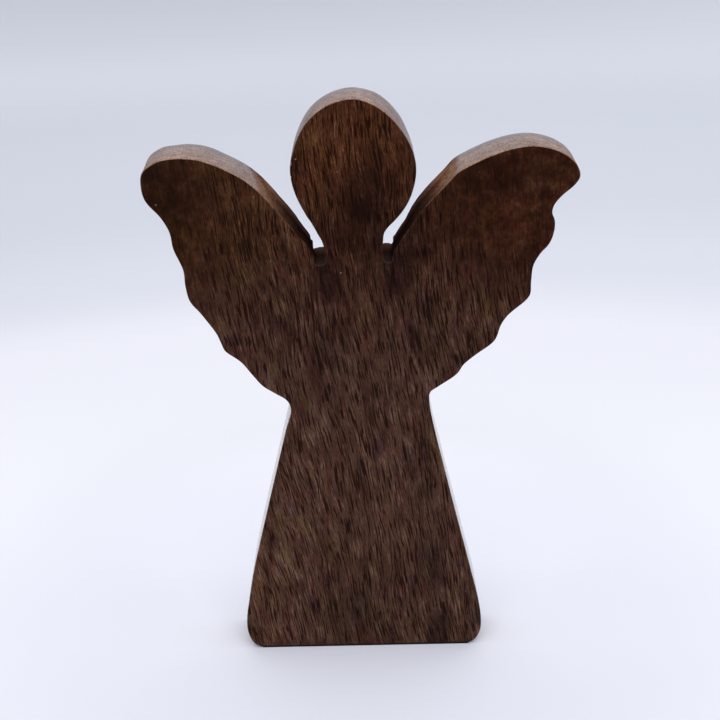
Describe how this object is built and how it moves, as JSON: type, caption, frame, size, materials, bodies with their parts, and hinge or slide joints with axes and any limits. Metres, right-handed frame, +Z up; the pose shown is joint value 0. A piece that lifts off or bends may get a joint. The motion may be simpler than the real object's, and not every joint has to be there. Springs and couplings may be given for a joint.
{
  "type": "angel figurine",
  "caption": "Free-standing angel silhouette cut from one thick dark-stained board: round head, raised scalloped wings, flared skirt and flat base.",
  "frame": {"origin": "middle of the flat base that the figure stands on, under the middle of the head and halfway through the board", "axes": "+Z up, +X to the viewer's right when the front is seen, +Y through the board away from the front"},
  "size_m": [0.1477, 0.025, 0.2],
  "materials": {
    "wood": "dark-stained, sanded and waxed, with a satin gloss"
  },
  "bodies": {
    "root": {"figurine": "wood"}
  },
  "joints": []
}
